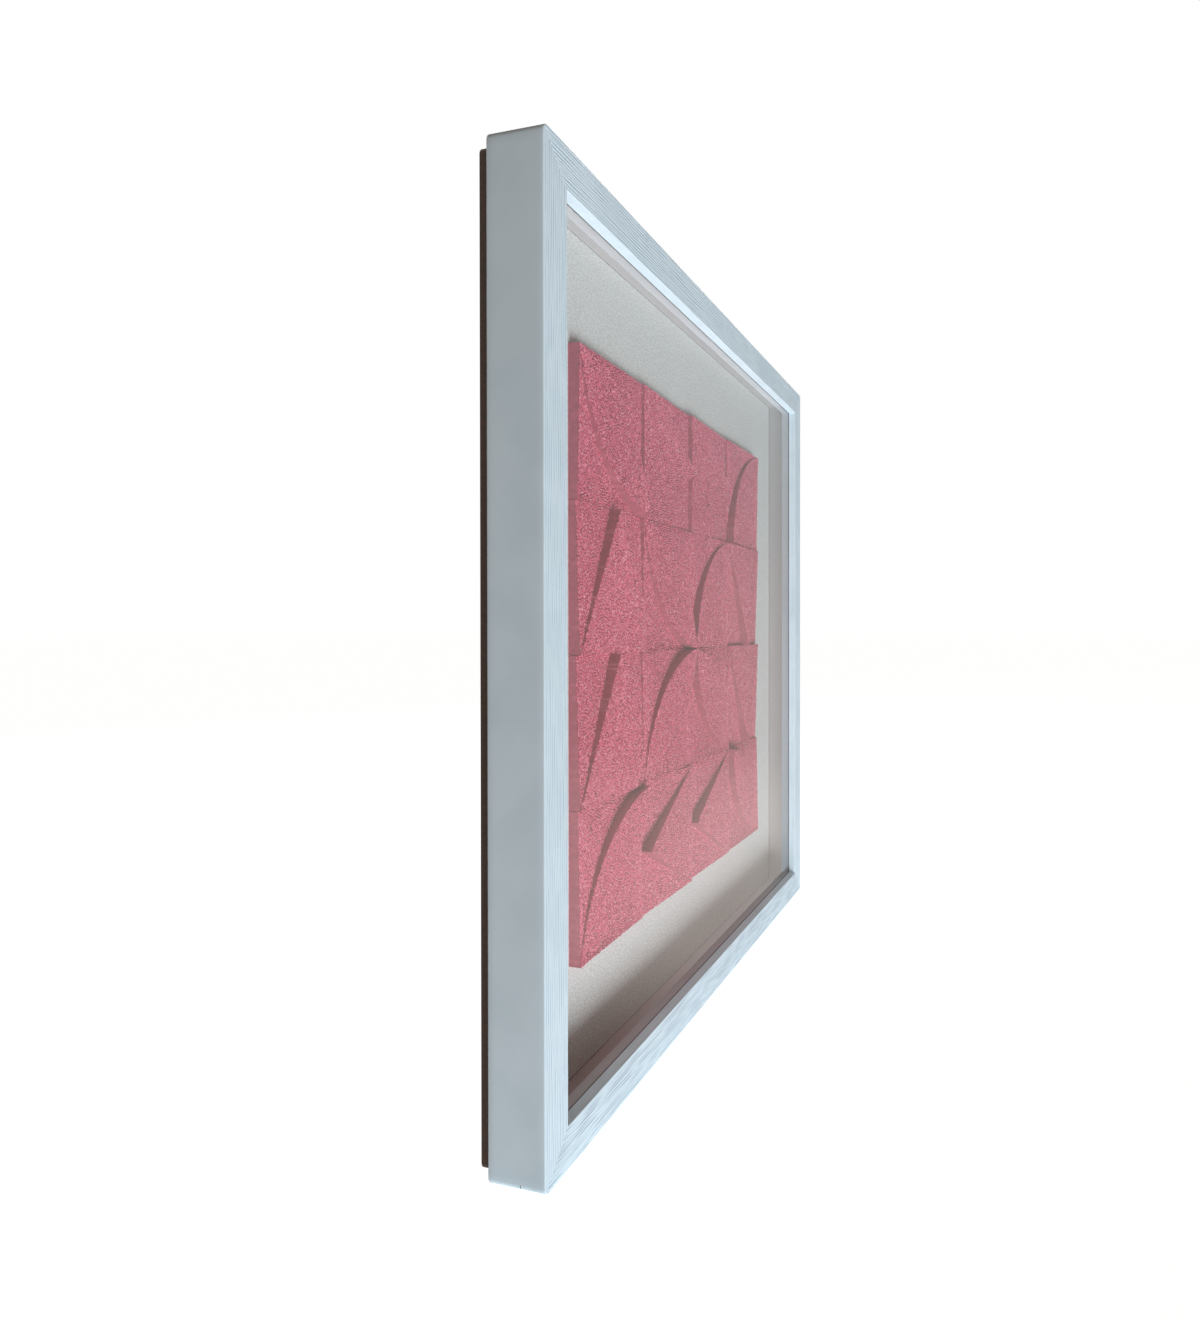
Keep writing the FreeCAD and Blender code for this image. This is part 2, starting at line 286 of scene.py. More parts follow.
def flat_sheet(name, corners, material):
    """A flat sheet through its corners, as a stage piece."""
    mesh = bpy.data.meshes.new(name)
    faces = [tuple(range(first, first + 4)) for first in range(0, len(corners), 4)]
    mesh.from_pydata(corners, [], faces)
    mesh.materials.append(material)
    sheet = bpy.data.objects.new(name, mesh)
    bpy.context.scene.collection.objects.link(sheet)
    return sheet


TABLE_REACH = 30.0
TABLE_GLOW = 0.75
TABLE_WHITE = 1.29
TABLE_PAPER = rgb(245, 245, 245)
TABLE_DROP = 0.2 * MM
table = Finish("white table top")
matt = table.node("ShaderNodeBsdfDiffuse", {}, {"Color": TABLE_PAPER})
white = table.node("ShaderNodeEmission", {}, {"Color": PLAIN_WHITE, "Strength": TABLE_WHITE})
table_top = flat_sheet(
    "table_top",
    [(x, y, -TABLE_DROP) for x, y in (
        (-TABLE_REACH, -TABLE_REACH), (TABLE_REACH, -TABLE_REACH),
        (TABLE_REACH, TABLE_REACH), (-TABLE_REACH, TABLE_REACH))],
    table.shown(table.node(
        "ShaderNodeMixShader", {}, {0: TABLE_GLOW * shows_background(table), 1: matt, 2: white})))
table_top.visible_shadow = False

# %% [markdown]
# Glass seen along its surface is a mirror as much as a window. A sheet that glows dim grey stands where the pane
# would mirror the bright surroundings, as a photographer places a card, and paints a reflection into the pane.
# Its lower part lies on the table in front of the frame and glows dark brown at the frame's left foot, a painted
# shade in the pane's reflection there. Only mirror rays see it.

# %% Glowing card, a painted reflection for the glass to mirror
CARD_X = 1.3
CARD_LEFT = -3.0
CARD_HEIGHT = 1.7
CARD_FRONT, CARD_BACK = -3.0, -0.03
CARD_FADE = 0.9
FOOT_DEPTH = (-0.32, -0.05)
FOOT_END = (-0.16, 0.08)
LYING_FADE = 0.4
LYING_TOP = 2 * MM
HORIZON_GREY = rgb(174, 172, 168)
UPPER_GREY = rgb(146, 157, 160)
LYING_GREY = rgb(208, 203, 198)
# Painted shade in the pane's reflection: the card glows dark brown at the frame's left foot.
FOOT_SHADE_BROWN = rgb(46, 32, 28)
# The card glows though it is no lamp: its colours are a painted reflection for the pane.
card = Finish("glowing reflection card")
card_x, card_y, card_z = (
    card.node("ShaderNodeSeparateXYZ", {}, {"Vector": card.place}, axis) for axis in "XYZ")
foot = card_y.between(*FOOT_DEPTH) * (1 - card_x.between(*FOOT_END))
standing = card.mix(card_z.between(0.0, CARD_FADE), HORIZON_GREY, UPPER_GREY)
lying = card.mix(card_x.between(LYING_FADE, CARD_X), LYING_GREY, HORIZON_GREY)
card_colour = card.mix(card_z < LYING_TOP, standing, card.mix(foot, lying, FOOT_SHADE_BROWN))
mirror_glow_card = flat_sheet(
    "mirror_glow_card",
    [(CARD_X, CARD_FRONT, MM), (CARD_X, CARD_BACK, MM),
     (CARD_X, CARD_BACK, CARD_HEIGHT), (CARD_X, CARD_FRONT, CARD_HEIGHT),
     (CARD_LEFT, CARD_FRONT, MM), (CARD_X, CARD_FRONT, MM),
     (CARD_X, CARD_BACK, MM), (CARD_LEFT, CARD_BACK, MM)],
    card.shown(card.node("ShaderNodeEmission", {}, {"Color": card_colour, "Strength": 1.0})))
mirror_glow_card.visible_camera = mirror_glow_card.visible_diffuse = False
mirror_glow_card.visible_shadow = mirror_glow_card.visible_transmission = False

# %% [markdown]
# Wood grain and packed paper are both random, but with a size and a direction of their own. A field of random
# numbers gets them when its spectrum is filtered: keeping one ring of waves gives a labyrinth of ridges of one
# width, and keeping long waves along and short waves across gives grooves.

# %% Random fields of a chosen grain
FIELD_CELLS = 1024
FIELD_SEED = 20
rng = np.random.default_rng(FIELD_SEED)


def random_field(cell, gain):
    """White noise filtered by gain(wave counts per metre along, across), scaled to a spread of 1."""
    along = np.abs(np.fft.fftfreq(FIELD_CELLS, cell))[:, None]
    across = np.abs(np.fft.rfftfreq(FIELD_CELLS, cell))[None, :]
    spectrum = np.fft.rfft2(rng.standard_normal((FIELD_CELLS, FIELD_CELLS)))
    field = np.fft.irfft2(spectrum * gain(along, across), s=(FIELD_CELLS, FIELD_CELLS))
    return (field - field.mean()) / field.std()


def sample(field, cell, along, across):
    """The field's value at places in metres, blended between its four nearest cells. It repeats."""
    u, v = along / cell, across / cell
    i, j = np.floor(u).astype(int), np.floor(v).astype(int)
    s, t = u - i, v - j
    i0, i1, j0, j1 = i % FIELD_CELLS, (i + 1) % FIELD_CELLS, j % FIELD_CELLS, (j + 1) % FIELD_CELLS
    return ((field[i0, j0] * (1 - s) + field[i1, j0] * s) * (1 - t)
            + (field[i0, j1] * (1 - s) + field[i1, j1] * s) * t)


PACK_CELL = 0.25 * MM
PACK_WAVE = 1.6 * MM
PACK_SPREAD = 0.32
packing_field = random_field(
    PACK_CELL, lambda a, c: np.exp(-((np.hypot(a, c) * PACK_WAVE - 1) / PACK_SPREAD) ** 2))

GRAIN_CELL = 0.25 * MM
GRAIN_LENGTH = 34 * MM
GRAIN_WIDTH = 1.7 * MM
GRAIN_SPREAD = 0.42
grain_field = random_field(
    GRAIN_CELL,
    lambda a, c: np.exp(-(a * GRAIN_LENGTH) ** 2 - ((c * GRAIN_WIDTH - 1) / GRAIN_SPREAD) ** 2))
print("fields:", packing_field.shape, grain_field.shape)

# %% [markdown]
# Every new piece is a closed surface, or two of them where a field has two corners. Its points are worked out as
# whole arrays, and its faces are groups of quads or single many-sided faces, each group with the number of its
# finish. Points that fall together, such as those at the tip of a leaf, are merged at the end. Each point keeps
# one value from 0 to 1, its relief, which the finish reads: how deep a groove is, or how high the paper stands.

# %% Turn arrays into a piece
SHARP_ANGLE = math.radians(65)
MERGE_DISTANCE = 2e-7
SHORTEST_EDGE = 1e-8


def grid_quads(rows, columns, closed=False):
    """The quads of a grid of points numbered row by row. A closed grid joins its last column to its first."""
    row = np.arange(rows - 1)[:, None]
    column = np.arange(columns if closed else columns - 1)[None, :]
    after = (column + 1) % columns
    corners = (row * columns + column, (row + 1) * columns + column, (row + 1) * columns + after,
               row * columns + after)
    return np.stack(corners, axis=-1).reshape(-1, 4)


def make_piece(name, points, face_groups, materials, replaced, values):
    """A piece from points (n, 3), face groups [(faces (m, k), finish number)] and the relief value of each
    point, merged and smooth."""
    mesh = bpy.data.meshes.new(name)
    corners = np.concatenate([faces.ravel() for faces, _ in face_groups])
    sizes = np.concatenate([np.full(len(faces), faces.shape[1]) for faces, _ in face_groups])
    numbers = np.concatenate([np.full(len(faces), number) for faces, number in face_groups])
    mesh.vertices.add(len(points))
    mesh.vertices.foreach_set("co", points.astype(np.float32).ravel())
    mesh.loops.add(len(corners))
    mesh.loops.foreach_set("vertex_index", corners.astype(np.int32))
    mesh.polygons.add(len(sizes))
    mesh.polygons.foreach_set("loop_start", (np.cumsum(sizes) - sizes).astype(np.int32))
    mesh.polygons.foreach_set("material_index", numbers.astype(np.int32))
    mesh.update(calc_edges=True)
    relief = mesh.attributes.new("relief", "FLOAT", "POINT")
    relief.data.foreach_set("value", values.astype(np.float32))
    merged = bmesh.new()
    merged.from_mesh(mesh)
    bmesh.ops.remove_doubles(merged, verts=merged.verts, dist=MERGE_DISTANCE)
    bmesh.ops.dissolve_degenerate(merged, edges=merged.edges, dist=SHORTEST_EDGE)
    merged.to_mesh(mesh)
    open_edges = sum(1 for edge in merged.edges if len(edge.link_faces) != 2)
    volume = merged.calc_volume(signed=True)
    merged.free()
    mesh.polygons.foreach_set("use_smooth", np.ones(len(mesh.polygons), bool))
    mesh.set_sharp_from_angle(angle=SHARP_ANGLE)
    for material in materials:
        mesh.materials.append(material)
    piece = bpy.data.objects.new(name, mesh)
    bpy.context.scene.collection.objects.link(piece)
    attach(piece, "root")
    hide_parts(*replaced)
    assert open_edges == 0 and volume > 0, f"{name}: {open_edges} open edges, volume {volume}"
    return piece


# %% [markdown]
# The frame's moulding is wrapped in white foil over a fine embossed wood grain: it is satin matt, with painted
# shade that makes it greyer in the grooves, faint clouds and a few specks. A thin dark line of painted shadow
# lies where the lip meets the pane, and the left side has one hairline crack at its foot.

# %% White foil
WHITE = rgb(228, 241, 248)
SHADE_WHITE = rgb(221, 235, 242)
SEAT_SHADE_GREY = rgb(92, 96, 98)
SEAT_WIDTH = 0.5 * MM
SPECK = rgb(110, 110, 112)
SPECKS_PER_METRE = 34
SPECK_RADIUS = 0.22 * MM
SPECK_SHARE = 0.05
CRACK_Y = -6.4 * MM
CRACK_LEAN = 0.08
CRACK_WIDTH = 0.24 * MM
CRACK_HEIGHT = 3.4 * MM
GROOVE_SHADE_BLUE = rgb(194, 209, 220)
FOIL_ROUGHNESS = 0.6
FOIL_SPECULAR = 0.15
PEEL_DEPTH = 0.05 * MM


def white_foil():
    """Satin white: clouds, painted shade in grooves, sparse specks, the crack, painted shadow at the pane, fine
    orange-peel.
    """
    finish = Finish("white foil")
    x, y, z = (finish.node("ShaderNodeSeparateXYZ", {}, {"Vector": finish.place}, axis) for axis in "XYZ")
    clouds = finish.noise(28, 3)
    colour = finish.mix(clouds.between(0.35, 0.7), WHITE, SHADE_WHITE)
    groove = finish.node("ShaderNodeAttribute", {"attribute_name": "relief"}, {}, "Fac")
    # Painted shade: the foil goes greyer where the pressed grooves are deeper.
    colour = finish.mix(groove.between(0.3, 0.85), colour, GROOVE_SHADE_BLUE)
    speck = finish.spots(SPECKS_PER_METRE, SPECK_RADIUS, SPECK_SHARE)
    crack = (abs(y - CRACK_Y + z * CRACK_LEAN) < CRACK_WIDTH) * (z < CRACK_HEIGHT) * (x < -HALF + MM)
    colour = finish.mix(speck.math("MAXIMUM", speck, crack), colour, SPECK)
    # Painted shadow: a thin dark line on the lip where it meets the pane.
    seat = abs(y - Y_GLASS + SEAT_WIDTH / 2) < SEAT_WIDTH / 2
    inside = (abs(x) < HALF - FACE + MM) * (abs(z - HALF) < HALF - FACE + MM)
    colour = finish.mix(seat * inside, colour, SEAT_SHADE_GREY)
    peel = finish.noise(700, 2)
    return finish.surface(
        Base_Color=colour, Roughness=FOIL_ROUGHNESS + 0.1 * finish.noise(160, 2),
        Specular_IOR_Level=FOIL_SPECULAR, Normal=finish.bump(peel, PEEL_DEPTH, 0.5))


foil = white_foil()

# %% [markdown]
# A rail is a section carried along a straight line and cut at 45 degrees at both ends. The section is walked
# from the back of the outer side over the front face to the lip, the glass seat, the rebate wall and the back.
# The grain is pressed into the front face only: grooves that run along the rail and go into the wood.

# %% Section of the moulding
ROUND_STEPS = 4
FACE_STEP = 0.28 * MM
SIDE_STEP = 3 * MM
LIP_STEP = 2 * MM
WALL_STEP = 5 * MM
BACK_STEP = 4 * MM


def run(start, end, step):
    """Evenly spaced values from start up to but without end."""
    count = max(1, round(abs(end - start) / step))
    return start + (end - start) * np.arange(count) / count


def arc(centre_d, centre_y, start, end):
    """Points of a quarter turn of the edge rounding, angles in degrees from the +d way towards +y."""
    angle = np.radians(run(start, end, (end - start) / ROUND_STEPS))
    return centre_d + EDGE_ROUND * np.cos(angle), centre_y + EDGE_ROUND * np.sin(angle)


def moulding_section():
    """The closed section as distance from the outer side and depth, with a mark of 1 on the front face."""
    inset = EDGE_ROUND
    side_y = run(Y_FRAME_BACK - inset, Y_FRONT + inset, SIDE_STEP)
    face_d = run(inset, FACE - inset, FACE_STEP)
    lip_y = run(Y_FRONT + inset, Y_GLASS, LIP_STEP)
    seat_d = run(FACE, WALL, BACK_STEP)
    wall_y = run(Y_GLASS, Y_FRAME_BACK, WALL_STEP)
    back_d = run(WALL, inset, BACK_STEP)
    parts = [
        (np.zeros_like(side_y), side_y, 0),
        (*arc(inset, Y_FRONT + inset, 180, 270), 0),
        (face_d, np.full_like(face_d, Y_FRONT), 1),
        (*arc(FACE - inset, Y_FRONT + inset, 270, 360), 0),
        (np.full_like(lip_y, FACE), lip_y, 0),
        (seat_d, np.full_like(seat_d, Y_GLASS), 0),
        (np.full_like(wall_y, WALL), wall_y, 0),
        (back_d, np.full_like(back_d, Y_FRAME_BACK), 0),
        (*arc(inset, Y_FRAME_BACK - inset, 90, 180), 0),
    ]
    distance = np.concatenate([part[0] for part in parts])
    depth = np.concatenate([part[1] for part in parts])
    mark = np.concatenate([np.full(len(part[0]), part[2], float) for part in parts])
    return distance, depth, mark


section_d, section_y, section_mark = moulding_section()
print("section points:", len(section_d))

# %% Rails with pressed grain
RAIL_STEP = 3.4 * MM
END_STEPS = 0.3 * MM * np.array([0, 1, 3, 5, 8, 12])
GROOVE_DEPTH = 0.27 * MM
GROOVE_START = -0.5
GROOVE_FULL = 1.7
MITRE_DEPTH = 0.16 * MM
NOT_ZERO = 1e-12


def turned(points, quarter_turns):
    """Turn points about the middle of the frame, by quarter turns anticlockwise seen from the front."""
    x, z = points[..., 0].copy(), points[..., 2] - HALF
    for _ in range(quarter_turns):
        x, z = -z, x.copy()
    return np.stack([x, points[..., 1], z + HALF], axis=-1)


def round_corner(x, d):
    """Round the frame's outer corner in the front view. Near a corner, the square ring at a distance from the
    rounding's centre becomes a circle of that radius: an offset is scaled by its longest side over its
    length."""
    centre = HALF - CORNER_RADIUS
    off_x, off_d = np.abs(x) - centre, d - CORNER_RADIUS
    longest = np.maximum(np.abs(off_x), np.abs(off_d))
    scale = longest / np.maximum(np.hypot(off_x, off_d), NOT_ZERO)
    inside = (off_x > 0) & (off_d < 0)
    scale = np.where(inside, scale, 1)
    new_x = np.where(inside, centre + off_x * scale, np.abs(x))
    return np.sign(x) * new_x, np.where(inside, CORNER_RADIUS + off_d * scale, d)


def make_rail(name, quarter_turns):
    """The section at stations along the rail. A station is a share of the length, which gets shorter by the
    distance from the outer side at both ends, so the ends lie on the mitres."""
    ends = 1 - END_STEPS / HALF
    middle = run(-ends[-1], ends[-1], RAIL_STEP / HALF)
    stations = np.concatenate([-ends[:-1], middle, ends[::-1]])
    share, d = np.meshgrid(stations, section_d, indexing="ij")
    y = np.broadcast_to(section_y, d.shape).copy()
    x = share * (HALF - d)
    offset = rng.uniform(0, 1, 2)
    grain = sample(grain_field, GRAIN_CELL, x + offset[0], d + offset[1])
    groove = np.clip((grain - GROOVE_START) / (GROOVE_FULL - GROOVE_START), 0, 1)
    at_mitre = (np.abs(share) == 1) * 1.0
    y += section_mark * (GROOVE_DEPTH * groove * (1 - at_mitre) + MITRE_DEPTH * at_mitre)
    x, z = round_corner(x, d)
    points = turned(np.stack([x, y, z], axis=-1), quarter_turns).reshape(-1, 3)
    rows, columns = d.shape
    caps = np.stack([np.arange(columns), (rows * columns - 1) - np.arange(columns)])
    faces = [(grid_quads(rows, columns, closed=True), 0), (caps, 0)]
    values = (section_mark * groove * (1 - at_mitre)).ravel()
    return make_piece(f"grained_{name}", points, faces, [foil], [name], values)


for turn, side in enumerate(("bottom", "right", "top", "left")):
    rail = make_rail(f"rail_{side}", turn)
    print(rail.name, len(rail.data.polygons), "faces")

# %% [markdown]
# The pane is kept as it is packed. Its shader mixes clear with mirror by Fresnel's law, which is what makes
# glass pale when it is seen along its surface. Light passes both faces of a pane and is mirrored by both, and
# their shares add up to 2r / (1 + r), so the front does the work of two and the back of the pane does nothing.

# %% Picture glass
GLASS_INDEX = 1.5
CLEAR_TINT = (0.992, 0.997, 0.997, 1.0)
MIRROR_ROUGHNESS = 0.02


def picture_glass():
    """Clear where the front of the pane lets light through, mirror where it throws light back."""
    finish = Finish("picture glass")
    once = finish.node("ShaderNodeFresnel", {}, {"IOR": GLASS_INDEX})
    behind = finish.node("ShaderNodeNewGeometry", {}, {}, "Backfacing")
    mirrored = 2 * once / (1 + once) * (1 - behind)
    clear = finish.node("ShaderNodeBsdfTransparent", {}, {"Color": CLEAR_TINT})
    mirror = finish.node(
        "ShaderNodeBsdfAnisotropic", {}, {"Color": PLAIN_WHITE, "Roughness": MIRROR_ROUGHNESS})
    return finish.shown(finish.node("ShaderNodeMixShader", {}, {0: mirrored, 1: clear, 2: mirror}))


def dress(node, material):
    """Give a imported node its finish."""
    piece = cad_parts[node]
    if not piece.material_slots:
        piece.data.materials.append(material)
    for held in piece.material_slots:
        held.material = material


dress("glass_pane", picture_glass())

# %% [markdown]
# The relief stands on a board of heavy grained paper. The board and the four spacer strips are imported nodes:
# the board gets a fine felt grain, the strips the smoother face of cut card, with painted shade along their
# corner with the board.

# %% Mount board and spacer strips
MOUNT_SHADE = rgb(222, 219, 216)
MOUNT_WHITE = rgb(255, 254, 250)
MOUNT_WARM = rgb(232, 222, 208)
TOOTH_DEPTH = 0.2 * MM
SPACER_SHADE = rgb(203, 196, 195)
SPACER_PALE = rgb(219, 212, 210)
SEAM_WIDTH = 0.4 * MM
SEAM_SHADE_GREY = rgb(120, 110, 106)


def mount_paper():
    """Grained white paper with faint warm clouds."""
    finish = Finish("felt paper")
    tooth = finish.noise(820, 3, roughness=0.6)
    clouds = finish.noise(45, 2)
    colour = finish.mix(tooth.between(0.36, 0.66), MOUNT_SHADE, MOUNT_WHITE)
    colour = finish.mix(0.15 * clouds, colour, MOUNT_WARM)
    return finish.surface(Base_Color=colour, Roughness=0.9, Normal=finish.bump(tooth, TOOTH_DEPTH, 0.8))


def spacer_card():
    """Pale cut card, with painted shade along its corner with the board."""
    finish = Finish("spacer card")
    fibres = finish.noise(420, 3, stretch=(1, 3, 1))
    colour = finish.mix(fibres, SPACER_SHADE, SPACER_PALE)
    depth = finish.node("ShaderNodeSeparateXYZ", {}, {"Vector": finish.place}, "Y")
    # Painted shade: a dark line where the strip meets the board.
    colour = finish.mix(depth > Y_BOARD - SEAM_WIDTH, colour, SEAM_SHADE_GREY)
    return finish.surface(Base_Color=colour, Roughness=0.75, Normal=finish.bump(fibres, 0.05 * MM, 0.4))


dress("mount_board", mount_paper())
strip_finish = spacer_card()
for side in ("top", "bottom", "left", "right"):
    dress(f"spacer_{side}", strip_finish)

# %% [markdown]
# Quilled paper seen on its edge is a mass of narrow strips packed side by side: a labyrinth of thin ridges with
# dark gaps between. The ridges are real, worked into the top of every piece, and each point keeps how high it
# lies in the packing, so the colour paints shade into the gaps and highlights on the highest edges. The outside
# of each piece is bound by one smooth strip, whose colour is darkened partly as painted shade on the walls.

# %% Packed paper edges and binding strips
GAP_SHADE_PINK = rgb(150, 44, 64)
PAPER_PINK = rgb(247, 102, 132)
RIDGE_HIGHLIGHT_PINK = rgb(255, 184, 194)
HIGHLIGHT_FLECK_PINK = rgb(255, 198, 206)
STRIP_PINK_AND_SHADE = rgb(199, 98, 115)
STRIP_DARK_AND_SHADE = rgb(188, 90, 106)
FINE_WAVES = 800
FINE_SHARE = 2.2
FINE_DEPTH = 0.6 * MM
HIGHLIGHT_FLECKS_PER_METRE = 620
HIGHLIGHT_FLECK_RADIUS = 0.4 * MM
HIGHLIGHT_FLECK_SHARE = 0.2


def packed_paper():
    """Painted shade in the gaps, pink on the paper, painted highlights on the highest edges and in pale flecks:
    the relief plus a finer grain.
    """
    finish = Finish("packed paper edges")
    height = finish.node("ShaderNodeAttribute", {"attribute_name": "relief"}, {}, "Fac")
    fine = finish.noise(FINE_WAVES, 2, roughness=0.6)
    level = height + FINE_SHARE * (fine - 0.5)
    # Painted shade: the gaps between the ridges go dark.
    colour = finish.mix(level.between(0.05, 0.6), GAP_SHADE_PINK, PAPER_PINK)
    # Painted highlight: the highest edges go pale.
    colour = finish.mix(level.between(0.65, 1.1), colour, RIDGE_HIGHLIGHT_PINK)
    # Painted highlights: pale flecks on the higher paper.
    highlight_fleck = finish.spots(HIGHLIGHT_FLECKS_PER_METRE, HIGHLIGHT_FLECK_RADIUS, HIGHLIGHT_FLECK_SHARE) * level.between(0.4, 0.7)
    colour = finish.mix(highlight_fleck, colour, HIGHLIGHT_FLECK_PINK)
    return finish.surface(Base_Color=colour, Roughness=0.85, Normal=finish.bump(fine, FINE_DEPTH, 1.0))


def binding_strip():
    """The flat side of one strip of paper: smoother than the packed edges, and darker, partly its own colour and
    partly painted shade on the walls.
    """
    finish = Finish("binding strip with painted shade")
    fibres = finish.noise(380, 3)
    # Partly painted shade: the strip colours are darkened so the walls read as in shade.
    colour = finish.mix(fibres.between(0.3, 0.7), STRIP_PINK_AND_SHADE, STRIP_DARK_AND_SHADE)
    return finish.surface(Base_Color=colour, Roughness=0.7, Normal=finish.bump(fibres, 0.03 * MM, 0.4))


packed = packed_paper()
binding = binding_strip()

# %% [markdown]
# The relief is a traditional patchwork design: a ring of flying geese triangles round two crossing chains of
# leaves. Each tile has a low field and a raised form, whose tops slope opposite ways. A tile is described along
# the way its form's high end points: a distance along that way, and a range from side to side at each distance.
# Every region, leaf, triangle or corner, is such a strip, so one function makes them all.

# %% Layout of the relief
TILE = 87 * MM
GAP = 0.2 * MM
FIELD_RISE = (7.2 * MM, 4.4 * MM)
FORM_RISE = (7.4 * MM, 11.6 * MM)
LEAF_HALF_WIDTH = 21 * MM
REACH = (TILE - GAP) / 2
DIAGONAL = REACH * math.sqrt(2)
# Rows from the top. A tile is its raised form and the way its high end points, in degrees from X towards Z.
LAYOUT = (
    (("leaf", 315), ("goose", 0), ("goose", 0), ("leaf", 225)),
    (("goose", 90), ("leaf", 315), ("leaf", 225), ("goose", 270)),
    (("goose", 90), ("leaf", 45), ("leaf", 135), ("goose", 270)),
    (("leaf", 45), ("goose", 180), ("goose", 180), ("leaf", 135)),
)


def leaf_side(along, grown):
    """Half the leaf's width at a distance along it: a circular arc through both tips and the widest point."""
    tip, width = DIAGONAL + grown, LEAF_HALF_WIDTH + grown
    radius = (tip ** 2 + width ** 2) / (2 * width)
    return width - radius + np.sqrt(np.maximum(radius ** 2 - along ** 2, 0))


def leaf_regions():
    """The leaf, and the two corners of its tile between its sides and the tile's outline."""
    tip, width = DIAGONAL + GAP, LEAF_HALF_WIDTH + GAP
    radius = (tip ** 2 + width ** 2) / (2 * width)
    offset = DIAGONAL + radius - width
    meeting = (offset - math.sqrt(2 * radius ** 2 - offset ** 2)) / 2
    form = (-DIAGONAL, DIAGONAL, lambda a: -leaf_side(a, 0), lambda a: leaf_side(a, 0))
    left = (-meeting, meeting, lambda a: leaf_side(a, GAP), lambda a: DIAGONAL - np.abs(a))
    right = (-meeting, meeting, lambda a: np.abs(a) - DIAGONAL, lambda a: -leaf_side(a, GAP))
    return form, [left, right], math.sqrt(2)


def goose_regions():
    """The triangle with its base on the low side of the tile, and the two corners beside it. Its long sides go
    two along for one across, so a gap square to them is as long as the root of five gaps along."""
    apex = REACH + GAP * math.sqrt(5)
    form = (-REACH, REACH, lambda a: (a - REACH) / 2, lambda a: (REACH - a) / 2)
    left = (apex - 2 * REACH, REACH, lambda a: (apex - a) / 2, lambda a: np.full_like(a, REACH))
    right = (apex - 2 * REACH, REACH, lambda a: np.full_like(a, -REACH), lambda a: (a - apex) / 2)
    return form, [left, right], 1.0


REGIONS = {"leaf": leaf_regions(), "goose": goose_regions()}

# %% Regions as closed blocks of packed paper
PACK_DEPTH = 0.5 * MM
PACK_STEEPNESS = 1.2
FORM_STEP = 0.72 * MM
FIELD_STEP = 0.82 * MM


def region_block(region, spread, rise, middle, angle, step):
    """One block: a grid over the region whose height is a plane along the way plus the packing's ridges, with
    walls down to the board and a flat bottom. Returns points, face groups and the packing height of each."""
    start, end, low_side, high_side = region
    rows = 2 * round((end - start) / step / 2) + 1
    along = np.linspace(start, end, rows)
    low, high = low_side(along), np.maximum(high_side(along), low_side(along))
    columns = round((high - low).max() / step) + 1
    across = low[:, None] + (high - low)[:, None] * np.linspace(0, 1, columns)
    along = np.broadcast_to(along[:, None], across.shape)
    offset = rng.uniform(0, 1, 2)
    packing = sample(packing_field, PACK_CELL, along + offset[0], across + offset[1])
    ridge = np.tanh(PACK_STEEPNESS * packing)
    share = (along / (REACH * spread) + 1) / 2
    height = rise[0] + (rise[1] - rise[0]) * share + PACK_DEPTH * ridge
    cosine, sine = math.cos(angle), math.sin(angle)
    x = middle[0] + along * cosine - across * sine
    z = middle[1] + along * sine + across * cosine
    top = np.stack([x, Y_BOARD - height, z], axis=-1).reshape(-1, 3)
    number = np.arange(rows * columns).reshape(rows, columns)
    ring = np.concatenate([number[:-1, 0], number[-1, :-1], number[:0:-1, -1], number[0, :0:-1]])
    foot = top[ring].copy()
    foot[:, 1] = Y_BOARD
    foot_number = len(top) + np.arange(len(ring))
    walls = np.stack([np.roll(ring, -1), ring, foot_number, np.roll(foot_number, -1)], axis=-1)
    faces = [(grid_quads(rows, columns), 0), (walls, 1), (foot_number[::-1][None, :], 1)]
    values = np.concatenate([(ridge.ravel() + 1) / 2, np.full(len(ring), 0.5)])
    return np.concatenate([top, foot]), faces, values


def joined(blocks):
    """Several blocks as the arrays of one piece."""
    points, faces, values, first = [], [], [], 0
    for block_points, block_faces, block_values in blocks:
        points.append(block_points)
        faces += [(group + first, number) for group, number in block_faces]
        values.append(block_values)
        first += len(block_points)
    return np.concatenate(points), faces, np.concatenate(values)


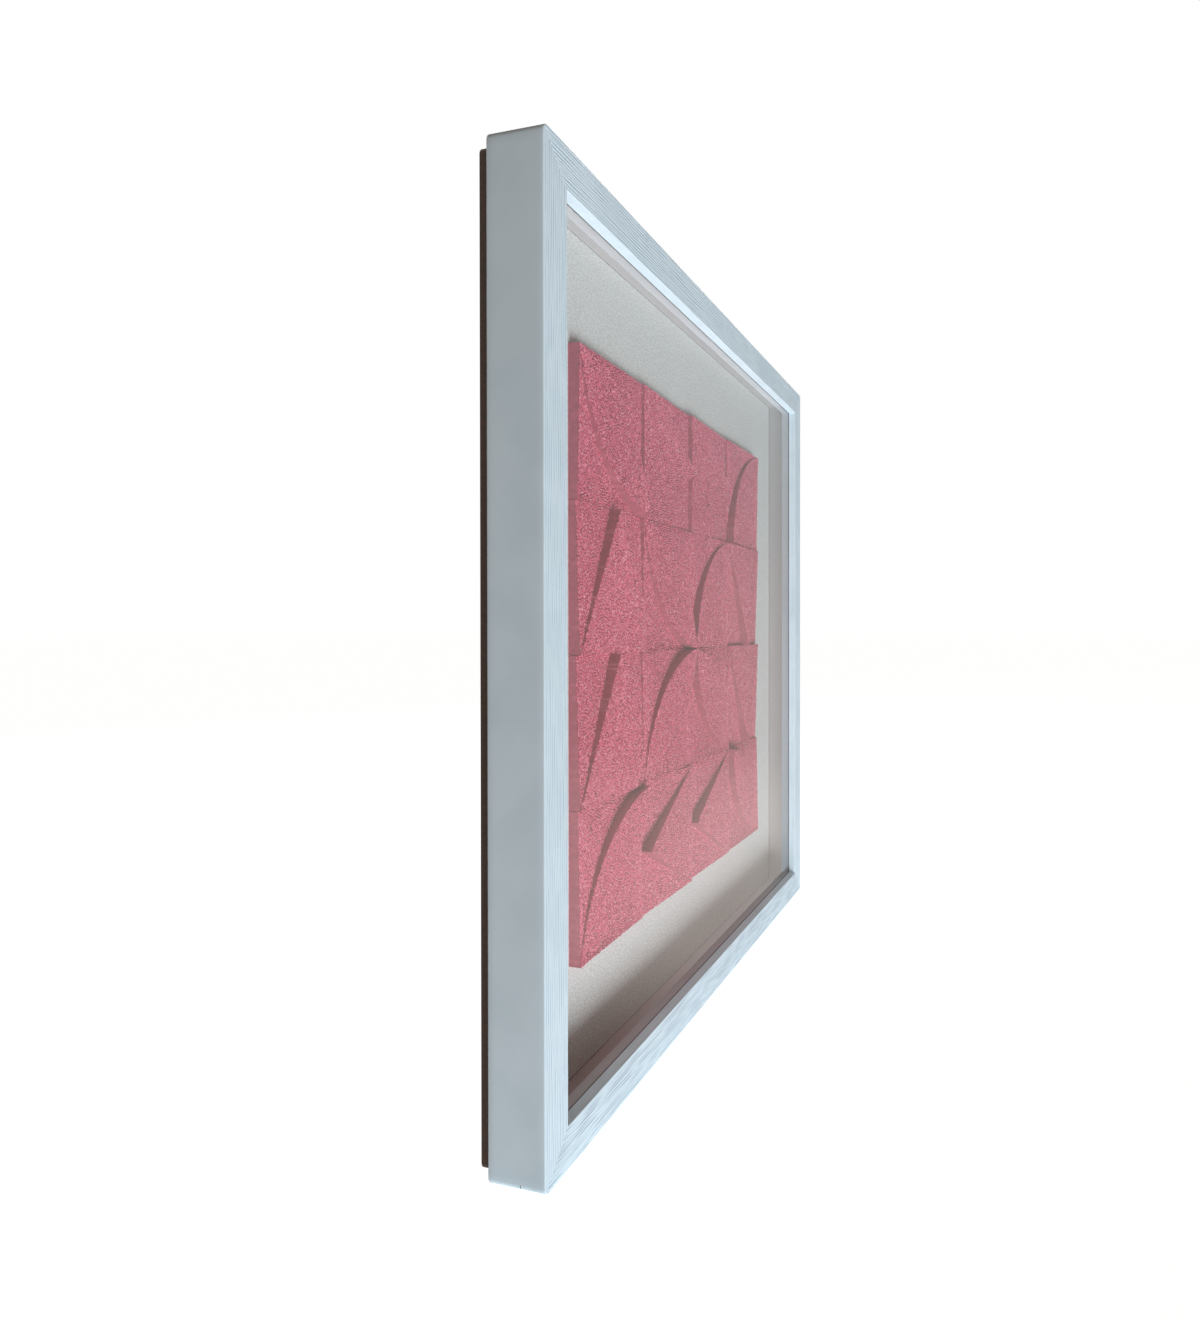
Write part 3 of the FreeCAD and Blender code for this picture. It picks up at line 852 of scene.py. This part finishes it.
# %% The sixteen tiles
total_faces = 0
for row, line in enumerate(LAYOUT):
    for column, (form_name, degrees) in enumerate(line):
        middle = ((column - 1.5) * TILE, HALF + (1.5 - row) * TILE)
        angle = math.radians(degrees)
        form, fields, spread = REGIONS[form_name]
        place = f"{row + 1}{column + 1}"
        raised = region_block(form, spread, FORM_RISE, middle, angle, FORM_STEP)
        corners = [region_block(region, spread, FIELD_RISE, middle, angle, FIELD_STEP) for region in fields]
        for node, block in ((f"{form_name}_{place}", raised), (f"field_{place}", joined(corners))):
            points, faces, values = block
            piece = make_piece(
                f"quilled_{node}", points, faces, [packed, binding], [node], values)
            total_faces += len(piece.data.polygons)
print("quilled faces:", total_faces)

# %% [markdown]
# The back is closed by a brown hardboard panel of pressed wood fibres. Its screws, the corner wedges and the
# hangers are zinc-plated steel and the two wall pads are rubber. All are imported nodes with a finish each.

# %% Hardboard, zinc and rubber
FIBRE_DARK = rgb(51, 32, 22)
FIBRE_LIGHT = rgb(73, 47, 32)
STRAND_DARK = rgb(40, 26, 18)
ZINC_DARK = rgb(140, 144, 148)
ZINC_LIGHT = rgb(172, 175, 178)
RUBBER_DARK = rgb(38, 38, 40)
RUBBER_LIGHT = rgb(58, 58, 60)


def hardboard():
    """Brown pressed fibres with darker strands."""
    finish = Finish("brown hardboard")
    fibres = finish.noise(260, 4, roughness=0.7)
    strands = finish.noise(90, 3, stretch=(1, 1, 5), roughness=0.6)
    colour = finish.mix(fibres.between(0.3, 0.7), FIBRE_DARK, FIBRE_LIGHT)
    colour = finish.mix(0.4 * strands.between(0.45, 0.7), colour, STRAND_DARK)
    return finish.surface(Base_Color=colour, Roughness=0.7, Normal=finish.bump(fibres, 0.08 * MM, 0.5))


def zinc():
    """Grey zinc with a faint spangle and fine scratches."""
    finish = Finish("zinc plate")
    spangle = finish.noise(380, 2)
    scratches = finish.noise(300, 2, stretch=(0.15, 1, 4))
    colour = finish.mix(spangle, ZINC_DARK, ZINC_LIGHT)
    return finish.surface(
        Base_Color=colour, Metallic=1.0, Roughness=0.38 + 0.2 * scratches,
        Normal=finish.bump(scratches, 0.02 * MM, 0.3))


def rubber():
    """Dark matt rubber."""
    finish = Finish("dark rubber")
    grain = finish.noise(700, 2)
    colour = finish.mix(grain, RUBBER_DARK, RUBBER_LIGHT)
    return finish.surface(Base_Color=colour, Roughness=0.8, Normal=finish.bump(grain, 0.05 * MM, 0.4))


dress("back_panel", hardboard())
zinc_finish = zinc()
for node in ("corner_wedges", "panel_screws", "hanger_left", "hanger_right", "hanger_screws"):
    dress(node, zinc_finish)
dress("wall_pads", rubber())

# %% Finish
bpy.context.scene.view_settings.view_transform = "Standard"
